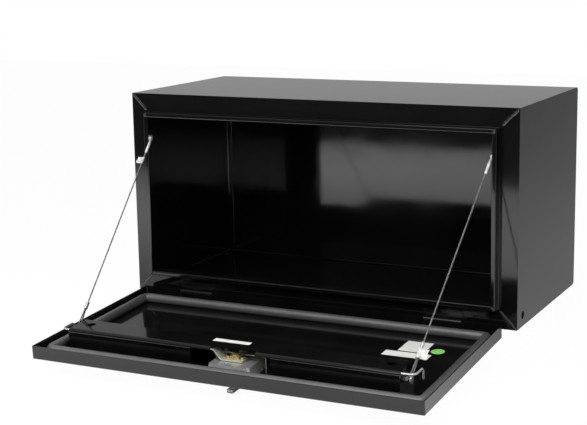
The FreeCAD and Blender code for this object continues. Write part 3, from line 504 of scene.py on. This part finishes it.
def stay_rope(stay):
    """The straight stretch from the eye's barrel to the ferrule."""
    controls = [stay.top, stay.at(BARREL_END + STRAIGHT_RUN), stay.at(stay.stop - STRAIGHT_RUN),
                stay.bottom]
    rope, path, length = rope_piece("stay_rope_" + stay.side, controls, stay.across)
    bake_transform(rope)
    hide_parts("cable_" + stay.side)


def stay_loop(stay):
    """The rope's end, led round the bolt and back into the ferrule."""
    full = (stay.lower - stay.upper).length
    start = full - LOOP_LENGTH - LOOP_TUCK
    half = [(start, STRAND_HALF), (start + LOOP_PARTS, STRAND_HALF),
            (full - LOOP_CLOSES, LOOP_REACH), (full + LOOP_REACH, LOOP_REACH)]
    turns = half + [(along, -across) for along, across in half[::-1]]
    controls = [Vector(stay.places(along, across, 0.0)) for along, across in turns]
    rope = rope_piece("stay_loop_" + stay.side, controls, stay.out, "door")[0]
    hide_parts("cable_loop_" + stay.side)


def sleeve_radius(t):
    """A soft sleeve with rounded ends and two faint crimps."""
    ends = np.minimum(np.minimum(t, 1 - t) * SLEEVE_TOE, 1)
    crimp = sum(np.exp(-((t - place) / CRIMP_WIDE) ** 2) for place in CRIMPS)
    return SLEEVE_CORE + SLEEVE_WALL * np.sqrt(ends) - CRIMP_DEEP * crimp


def stay_sleeve(stay):
    """A turned outline of sleeve_radius round the upper end of the cable."""
    t, angles = np.meshgrid(np.linspace(0, 1, SLEEVE_RINGS),
                            np.linspace(0, 2 * math.pi, SLEEVE_SIDES, endpoint=False),
                            indexing="ij")
    along = BARREL_END + t * (SLEEVE_END - BARREL_END)
    radius = sleeve_radius(t) * (1 + SLEEVE_UNEVEN * np.sin(3 * angles + 9 * t))
    points = stay.places(along, radius * np.cos(angles), radius * np.sin(angles))
    faces = capped_tube_faces(SLEEVE_RINGS, SLEEVE_SIDES)
    if stay.side == "right":
        faces = [tuple(face[::-1]) for face in faces]
    sleeve = new_piece("stay_sleeve_" + stay.side, points, faces, "sleeve_plastic")
    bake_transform(sleeve)
    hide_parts("cable_sleeve_" + stay.side)


def paper_line(wrap, reach):
    """Middle line of a strip folded round the cable, seen along the cable.

    It comes in from the flag's edge, turns round the cable on a circle and goes back out, the two
    layers closing to the paper's gap a millimetre or two beyond the circle."""
    turn = np.radians(np.linspace(PAPER_OPENING, 360 - PAPER_OPENING, PAPER_COLUMNS))
    circle = np.stack([wrap * np.cos(turn), wrap * np.sin(turn)], 1)
    run = np.linspace(reach, circle[0, 0], PAPER_COLUMNS, endpoint=False)
    height = PAPER_GAP + (circle[0, 1] - PAPER_GAP) * np.exp(
        -(run - circle[0, 0]) / PAPER_CLOSING)
    inwards = np.stack([run, height], 1)
    return np.concatenate([inwards, circle, inwards[::-1] * (1, -1)])


def stay_tag(stay, start, length, wrap, reach, curl, crumple):
    """A paper strip of real thickness, folded round the cable, its flag curled and crumpled.

    Each point of the middle line is moved half the paper's thickness to either side. Away from the
    cable the whole flag is bent across by a parabola and by three slanting waves."""
    middle = paper_line(wrap, reach)
    slope = np.gradient(middle, axis=0)
    normal = np.stack([-slope[:, 1], slope[:, 0]], 1)
    normal /= np.linalg.norm(slope, axis=1, keepdims=True)
    outline = np.concatenate([middle + normal * PAPER_HALF, (middle - normal * PAPER_HALF)[::-1]])
    t = np.linspace(0, 1, PAPER_ROWS)[:, None]
    out, across = outline[:, 0][None] + 0 * t, outline[:, 1][None] + 0 * t
    free = np.clip((out - wrap) / (reach - wrap), 0, 1)
    waves = (np.sin(5.1 * t + 4.0 * free) + 0.6 * np.sin(11 * t - 7 * free + 1)
             + 0.35 * np.sin(19 * free + 8 * t))
    across = across + curl * free ** 2 + crumple * free * waves
    out = out - 0.25 * abs(curl) * free ** 2 * (1 + 0.4 * np.sin(4 * t))
    along = start + length * t + 0.0006 * free * np.sin(6 * t + 2) + 0 * out
    points = stay.places(along, across, out)
    count = outline.shape[0]
    faces = [tuple(f) for f in grid_faces(PAPER_ROWS, count, closed_columns=True)]
    half = count // 2
    for base, flip in ((0, True), ((PAPER_ROWS - 1) * count, False)):
        for k in range(half - 1):
            face = (base + k, base + k + 1, base + count - 2 - k, base + count - 1 - k)
            faces.append(face[::-1] if flip else face)
    if stay.side == "right":
        faces = [tuple(face[::-1]) for face in faces]
    tag = new_piece("stay_tag_" + stay.side, points, faces, "paper_tag")
    if start < stay.stop:
        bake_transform(tag)
    else:
        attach(tag, "door")
    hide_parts("cable_tag_" + stay.side)


for side in ("left", "right"):
    stay = Stay(side)
    stay_rope(stay)
    stay_loop(stay)
    stay_sleeve(stay)
    if side == "left":
        stay_tag(stay, start=0.0525, length=0.016, wrap=CABLE_RADIUS + 0.0004, reach=0.0138,
                 curl=0.002, crumple=0.0005)
    else:
        stay_tag(stay, start=stay.stop + FERRULE_LENGTH - 0.004, length=0.021, wrap=0.0047,
                 reach=0.0190, curl=-0.003, crumple=0.0019)


# The door seal

SEAL_HALF = 0.4113
SEAL_LOW = 0.034
SEAL_HIGH = 0.3984
SEAL_RADIUS = 0.0102
SEAL_SINK = 0.0006
SEAL_CORNER = 0.012

# How finely the seal is drawn, and how much its line and height vary
SEAL_STEP = 0.006
SEAL_SIDES = 40
SEAL_WANDER = 0.00010
SEAL_SWELL = 0.0022


def rounded_loop(half, low, high, corner, step):
    """Points round a rectangle with round corners, with the direction that looks outwards.

    Each side is a straight run and each corner a quarter circle, both at about the given step."""
    points, outward = [], []
    centres = [(half - corner, low + corner, -90), (half - corner, high - corner, 0),
               (corner - half, high - corner, 90), (corner - half, low + corner, 180)]
    for k, (cx, cs, start) in enumerate(centres):
        count = max(6, int(corner * math.pi / 2 / (step * 0.5)))
        turn = np.radians(start + np.linspace(0, 90, count))
        arc = np.stack([cx + corner * np.cos(turn), cs + corner * np.sin(turn)], 1)
        points.append(arc)
        outward.append(np.stack([np.cos(turn), np.sin(turn)], 1))
        nx, ns, nstart = centres[(k + 1) % 4]
        a = arc[-1]
        turn = math.radians(nstart)
        b = np.array([nx + corner * math.cos(turn), ns + corner * math.sin(turn)])
        runs = max(2, int(np.linalg.norm(b - a) / step))
        u = np.linspace(0, 1, runs + 1)[1:-1, None]
        points.append(a * (1 - u) + b * u)
        outward.append(np.repeat([[math.cos(turn), math.sin(turn)]], runs - 1, 0))
    return np.concatenate(points), np.concatenate(outward)


def door_seal():
    """A rubber bulb round the door: a circle flattened where it is glued, swept round the loop,
    its line wandering and its height swelling a little as hand-laid seal does."""
    loop, outward = rounded_loop(SEAL_HALF, SEAL_LOW, SEAL_HIGH, SEAL_CORNER, SEAL_STEP)
    count = len(loop)
    u = np.linspace(0, 2 * math.pi, count, endpoint=False)
    rng = np.random.default_rng(RNG_SEED)
    wander = sum(rng.uniform(-1, 1) * np.sin(k * u + rng.uniform(0, 6)) for k in range(5, 17))
    swell = sum(rng.uniform(-1, 1) * np.sin(k * u + rng.uniform(0, 6)) for k in range(9, 30))
    loop = loop + outward * (SEAL_WANDER * wander)[:, None]
    radius = SEAL_RADIUS * (1 + SEAL_SWELL * swell)
    angles = np.linspace(0, 2 * math.pi, SEAL_SIDES, endpoint=False)
    sideways = radius[:, None] * np.cos(angles)[None]
    height = radius[:, None] * np.sin(angles)[None] + SHEET + SEAL_RADIUS - SEAL_SINK
    height = np.maximum(height, SHEET)
    x = loop[:, :1] + outward[:, :1] * sideways
    s = loop[:, 1:] + outward[:, 1:] * sideways
    points = door_points(x, s, height)
    faces = [tuple(f[::-1]) for f in grid_faces(count, SEAL_SIDES, True, True)]
    seal = new_piece("bulb_seal", points, faces, "seal_rubber", "door")
    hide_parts("door_seal")
    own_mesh(seal)


door_seal()


# Weld beads

# The box, its frame and seams, then the door and its hinges, as in the part
X_END = 0.4572
Y_FRONT = -0.2141
BOX_HIGH = 0.4572
RIDGE_FRONT = Y_FRONT - 0.022
FLANGE_WIDE = 0.041
SEAM_INSET = 0.0139
SEAM_LOW = 0.0095
SEAM_BACK = 0.2119
DOOR_HALF = 0.4295
DOOR_HIGH = 0.432
DOOR_DEEP = 0.028
HINGE_HALF = 0.042
HINGE_PLACE = 0.298

# Where the beads start and end
TACK_LONG = 0.018
TACK_STARTS = (Y_FRONT + 0.103, 0.1601)
FRAME_LEAF_TACK = (0.0156, 0.0290)
DOOR_LEAF_TACK = (0.0034, 0.0129)
FLANGE_MITRE = (0.002, FLANGE_WIDE - 0.0035)
RIDGE_MITRE = (FLANGE_WIDE + 0.003, FLANGE_WIDE + 0.0085)

# Half width, rise above the sheet, depth below it, and ripple pitch
FLANGE_BEAD = (0.0030, 0.00085, 0.0008, 0.0022)
RIDGE_BEAD = (0.0034, 0.0015, 0.0008, 0.0020)
ROUND_BEAD = (0.0017, 0.0017, 0.0017, 0.0018)
LEAF_BEAD = (0.0016, 0.0016, 0.0016, 0.0018)
CORNER_BEAD = (0.0017, 0.0017, 0.0017, 0.0019)
BEAD_STEP = 0.0005
BEAD_SIDES = 18


def bead_surface(start, end, normal, half_wide, rise, under, pitch, rng):
    """One laid bead, an arch over a shallow keel swept from start to end.

    Sideways it is half_wide cos(a) and in height rise sin(a), or under sin(a) below the sheet.
    Both swell with three slow sines, and the height is pressed by a row of bowed ripples, each a
    quarter ellipse of the distance since the last one. The ends close as a rounded toe."""
    start, end, normal = (np.array(v, float) for v in (start, end, normal))
    run = end - start
    length = np.linalg.norm(run)
    run /= length
    normal /= np.linalg.norm(normal)
    across = np.cross(run, normal)
    rings = max(12, int(length / BEAD_STEP))
    t, a = np.meshgrid(np.linspace(0, 1, rings),
                       np.linspace(0, 2 * math.pi, BEAD_SIDES, endpoint=False), indexing="ij")
    along = t * length
    swell, wander = (
        sum(rng.uniform(*size) * np.sin(along * rng.uniform(*rate) + rng.uniform(0, 6))
            for _ in range(3))
        for size, rate in (((0.02, 0.09), (250, 1500)), ((0.05, 0.14), (120, 700))))
    bowed = (along + 0.5 * pitch * np.cos(a) ** 2) / pitch
    ripple = 0.70 + 0.30 * np.sqrt(1 - 0.96 * (bowed % 1) ** 2)
    toe = np.sqrt(np.clip(1 - np.abs(2 * t - 1) ** 10, 0.02, 1))
    sideways = half_wide * toe * (1 + swell) * np.cos(a) + half_wide * wander
    height = np.where(np.sin(a) > 0, rise * toe * ripple * (1 + swell), under * toe) * np.sin(a)
    points = (start + along[..., None] * run + sideways[..., None] * across
              + height[..., None] * normal)
    return points.reshape(-1, 3), capped_tube_faces(rings, BEAD_SIDES)


def bead_piece(name, cad_name, beads, body):
    """Several beads joined in one mesh, which takes the place of the CAD's plain ones."""
    rng = np.random.default_rng(RNG_SEED)
    points, faces, count = [], [], 0
    for bead in beads:
        made, made_faces = bead_surface(*bead, rng)
        points.append(made)
        faces += [tuple(k + count for k in face) for face in made_faces]
        count += len(made)
    piece = new_piece(name, np.concatenate(points), faces, "weld_paint", body)
    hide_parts(cad_name)


def mitre_beads():
    """Across the frame's corners, one on the flange and one on the ridge."""
    beads = []
    for right in (1, -1):
        for top in (0, 1):
            for mitre, y, shape in ((FLANGE_MITRE, Y_FRONT, FLANGE_BEAD),
                                    (RIDGE_MITRE, RIDGE_FRONT, RIDGE_BEAD)):
                ends = [(right * (X_END - inset), y, BOX_HIGH - inset if top else inset)
                        for inset in mitre]
                beads.append((*ends, (0, -1, 0), *shape))
    return beads


def seam_beads():
    """Up the end panels' rear flanges, tacks on their bottom ones, and beside each frame leaf."""
    beads = []
    for side in (1, -1):
        x = side * (X_END - SEAM_INSET)
        beads.append(((x, SEAM_BACK, SEAM_LOW), (x, SEAM_BACK, BOX_HIGH - SEAM_LOW),
                      (-side, -1, 0), *ROUND_BEAD))
        for start in TACK_STARTS:
            beads.append(((x, start, SHEET), (x, start + TACK_LONG, SHEET), (-side, 0, 1),
                          *ROUND_BEAD))
        for end in (-1, 1):
            foot = side * HINGE_PLACE + end * HINGE_HALF
            beads.append((*((foot, Y_FRONT, z) for z in FRAME_LEAF_TACK), (end, -1, 0),
                          *ROUND_BEAD))
    return beads


def door_hinge_beads():
    """Beside each hinge leaf on the door's hinge edge."""
    beads = []
    for side in (1, -1):
        for end in (-1, 1):
            x = side * HINGE_PLACE + end * HINGE_HALF
            normal = door_point(end, -1, 0) - door_point(0, 0, 0)
            beads.append((*(door_point(x, 0, h) for h in DOOR_LEAF_TACK), normal, *LEAF_BEAD))
    return beads


def door_corner_beads():
    """Up the inside of the door pan's four corners."""
    beads = []
    for side in (1, -1):
        for s, up in ((SHEET, 1), (DOOR_HIGH - SHEET, -1)):
            x = side * (DOOR_HALF - SHEET)
            normal = door_point(-side, up, 0) - door_point(0, 0, 0)
            beads.append((door_point(x, s, SHEET), door_point(x, s, DOOR_DEEP - SHEET), normal,
                          *CORNER_BEAD))
    return beads


bead_piece("mitre_weld_beads", "frame_corner_welds", mitre_beads(), "box")
bead_piece("seam_weld_beads", "box_tacks", seam_beads(), "box")
bead_piece("hinge_weld_beads", "hinge_door_tacks", door_hinge_beads(), "door")
bead_piece("pan_corner_beads", "door_corner_welds", door_corner_beads(), "door")


# Camera, light and floor

WORLD_LIGHT = 0.33
WORLD_GLOSS = 0.46
WORLD_GLOSS_FRONT = 0.13
WORLD_GLOSS_TOP = 0.6
FLOOR_COLOUR = (0.8, 0.8, 0.8, 1)
FLOOR_GLOW = 0.975
FLOOR_LEVEL = cad_box[0][2] - 0.004
FLOOR_HALF = 6.0
FLOOR_FRONT = -2.2
PLINTH_INSET = (0.03, 0.045)
PLINTH_GAP = 0.0002

# Direction's axis, where the fade starts and ends, and the strength at each end
GLOSS_FADES = (("Y", -0.6, 0.3, WORLD_GLOSS_FRONT, WORLD_GLOSS),
               ("Z", 0.3, 0.6, 0.0, WORLD_GLOSS_TOP))

# Name, place, aim, size, power in watts, and whether it shows in gloss
SOFTBOXES = (
    ("key_softbox", (0.3, -1.9, 2.0), (0.1, -0.3, 0.1), (2.2, 2.0), 30, True),
    ("front_right_softbox", (1.9, -2.5, 0.6), (-0.3, 0.0, 0.2), (0.5, 1.2), 9, False),
    ("middle_floor_softbox", (0.8, -1.25, 0.8), (0.8, -1.25, 0.0), (0.8, 0.7), 24, False),
    ("left_floor_softbox", (-0.9, -1.65, 0.95), (-0.9, -1.65, 0.0), (1.3, 1.2), 60, False),
    ("right_floor_softbox", (1.5, 1.1, 1.2), (1.3, 1.1, 0.0), (0.9, 0.9), 2, False),
)


def set_camera():
    """The camera is turned by its yaw, pitch and roll, and shifted to the photograph's centre."""
    data = bpy.data.cameras.new("photo_camera")
    data.sensor_width = SENSOR_MM
    data.lens = FOCAL_PIXELS * SENSOR_MM / IMAGE_WIDE
    data.shift_x = (IMAGE_WIDE / 2 - CENTRE_PIXEL[0]) / IMAGE_WIDE
    data.shift_y = (CENTRE_PIXEL[1] - IMAGE_HIGH / 2) / IMAGE_WIDE
    camera = bpy.data.objects.new("photo_camera", data)
    bpy.context.scene.collection.objects.link(camera)
    ahead = Vector((math.sin(CAMERA_YAW) * math.cos(CAMERA_PITCH),
                    math.cos(CAMERA_YAW) * math.cos(CAMERA_PITCH), math.sin(CAMERA_PITCH)))
    right = Vector((math.cos(CAMERA_YAW), -math.sin(CAMERA_YAW), 0))
    up = right.cross(ahead)
    side = right * math.cos(CAMERA_ROLL) + up * math.sin(CAMERA_ROLL)
    top = up * math.cos(CAMERA_ROLL) - right * math.sin(CAMERA_ROLL)
    turn = Matrix((side, top, -ahead)).transposed()
    camera.matrix_world = Matrix.Translation(CAMERA_PLACE) @ turn.to_4x4()
    bpy.context.scene.camera = camera


def area_light(name, place, aim, size, power, mirrored):
    """A softbox that shines from place towards aim. Gloss shows it only where it is mirrored."""
    data = bpy.data.lights.new(name, "AREA")
    data.shape = "RECTANGLE"
    data.size, data.size_y = size
    data.energy = power
    lamp = bpy.data.objects.new(name, data)
    bpy.context.scene.collection.objects.link(lamp)
    lamp.location = place
    lamp.rotation_euler = (Vector(aim) - Vector(place)).to_track_quat("-Z", "Y").to_euler()
    lamp.visible_glossy = mirrored


def set_world():
    """White for the camera and for glass. In gloss it is bright overhead and dark in front."""
    world = bpy.data.worlds.new("studio")
    world.use_nodes = True
    tree = world.node_tree
    tree.nodes.clear()
    path = node(tree, "ShaderNodeLightPath")
    seen = node(tree, "ShaderNodeMath", operation="MAXIMUM")
    tree.links.new(path.outputs["Is Camera Ray"], seen.inputs[0])
    tree.links.new(path.outputs["Is Transmission Ray"], seen.inputs[1])
    plain, white, glossy = (node(tree, "ShaderNodeBackground") for _ in range(3))
    plain.inputs["Strength"].default_value = WORLD_LIGHT
    white.inputs["Strength"].default_value = 1.0
    for shade in (plain, white, glossy):
        shade.inputs["Color"].default_value = (1, 1, 1, 1)
    towards = node(tree, "ShaderNodeTexCoord")
    split = node(tree, "ShaderNodeSeparateXYZ")
    tree.links.new(towards.outputs["Generated"], split.inputs[0])
    brighter = node(tree, "ShaderNodeMath", operation="MAXIMUM")
    for k, (axis, start, end, low, high) in enumerate(GLOSS_FADES):
        fade = node(tree, "ShaderNodeMapRange", in_1=start, in_2=end, in_3=low, in_4=high)
        tree.links.new(split.outputs[axis], fade.inputs["Value"])
        tree.links.new(fade.outputs["Result"], brighter.inputs[k])
    tree.links.new(brighter.outputs[0], glossy.inputs["Strength"])
    first, second = (node(tree, "ShaderNodeMixShader") for _ in range(2))
    out = node(tree, "ShaderNodeOutputWorld")
    tree.links.new(path.outputs["Is Glossy Ray"], first.inputs[0])
    tree.links.new(plain.outputs[0], first.inputs[1])
    tree.links.new(glossy.outputs[0], first.inputs[2])
    tree.links.new(seen.outputs[0], second.inputs[0])
    tree.links.new(first.outputs[0], second.inputs[1])
    tree.links.new(white.outputs[0], second.inputs[2])
    tree.links.new(second.outputs[0], out.inputs["Surface"])
    bpy.context.scene.world = world


def floor_material():
    """A pale studio floor that the camera sees as white, with a faint shadow kept."""
    material = bpy.data.materials.new("white_floor")
    material.use_nodes = True
    tree = material.node_tree
    tree.nodes.clear()
    path = node(tree, "ShaderNodeLightPath")
    diffuse = node(tree, "ShaderNodeBsdfDiffuse")
    diffuse.inputs["Color"].default_value = FLOOR_COLOUR
    glow = node(tree, "ShaderNodeEmission")
    glow.inputs["Strength"].default_value = 1.0
    seen = node(tree, "ShaderNodeMath", operation="MULTIPLY", in_1=FLOOR_GLOW)
    tree.links.new(path.outputs["Is Camera Ray"], seen.inputs[0])
    mix = node(tree, "ShaderNodeMixShader")
    out = node(tree, "ShaderNodeOutputMaterial")
    tree.links.new(seen.outputs[0], mix.inputs[0])
    tree.links.new(diffuse.outputs[0], mix.inputs[1])
    tree.links.new(glow.outputs[0], mix.inputs[2])
    tree.links.new(mix.outputs[0], out.inputs["Surface"])
    return material


def set_floor():
    """A wide floor below the hanging door, and a plinth that carries the box."""
    material = floor_material()
    h = FLOOR_HALF
    mesh = bpy.data.meshes.new("studio_floor")
    mesh.from_pydata([(x, y, FLOOR_LEVEL) for x, y in ((-h, FLOOR_FRONT), (h, FLOOR_FRONT),
                                                       (h, h), (-h, h))], [], [(0, 1, 2, 3)])
    low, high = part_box("body_wrap")
    x0, x1 = low.x + PLINTH_INSET[0], high.x - PLINTH_INSET[0]
    y0, y1 = low.y + PLINTH_INSET[1], high.y - PLINTH_INSET[0]
    corners = [(x0, y0), (x1, y0), (x1, y1), (x0, y1)]
    block = bpy.data.meshes.new("plinth")
    levels = (FLOOR_LEVEL, low.z - PLINTH_GAP)
    block.from_pydata([(x, y, z) for z in levels for x, y in corners], [],
                      [(3, 2, 1, 0), (4, 5, 6, 7), (0, 1, 5, 4), (1, 2, 6, 5), (2, 3, 7, 6),
                       (3, 0, 4, 7)])
    for name, data in (("studio_floor", mesh), ("plinth", block)):
        data.materials.append(material)
        made = bpy.data.objects.new(name, data)
        bpy.context.scene.collection.objects.link(made)


set_camera()
set_world()
set_floor()
for softbox in SOFTBOXES:
    area_light(*softbox)
bpy.context.scene.view_settings.view_transform = "Standard"
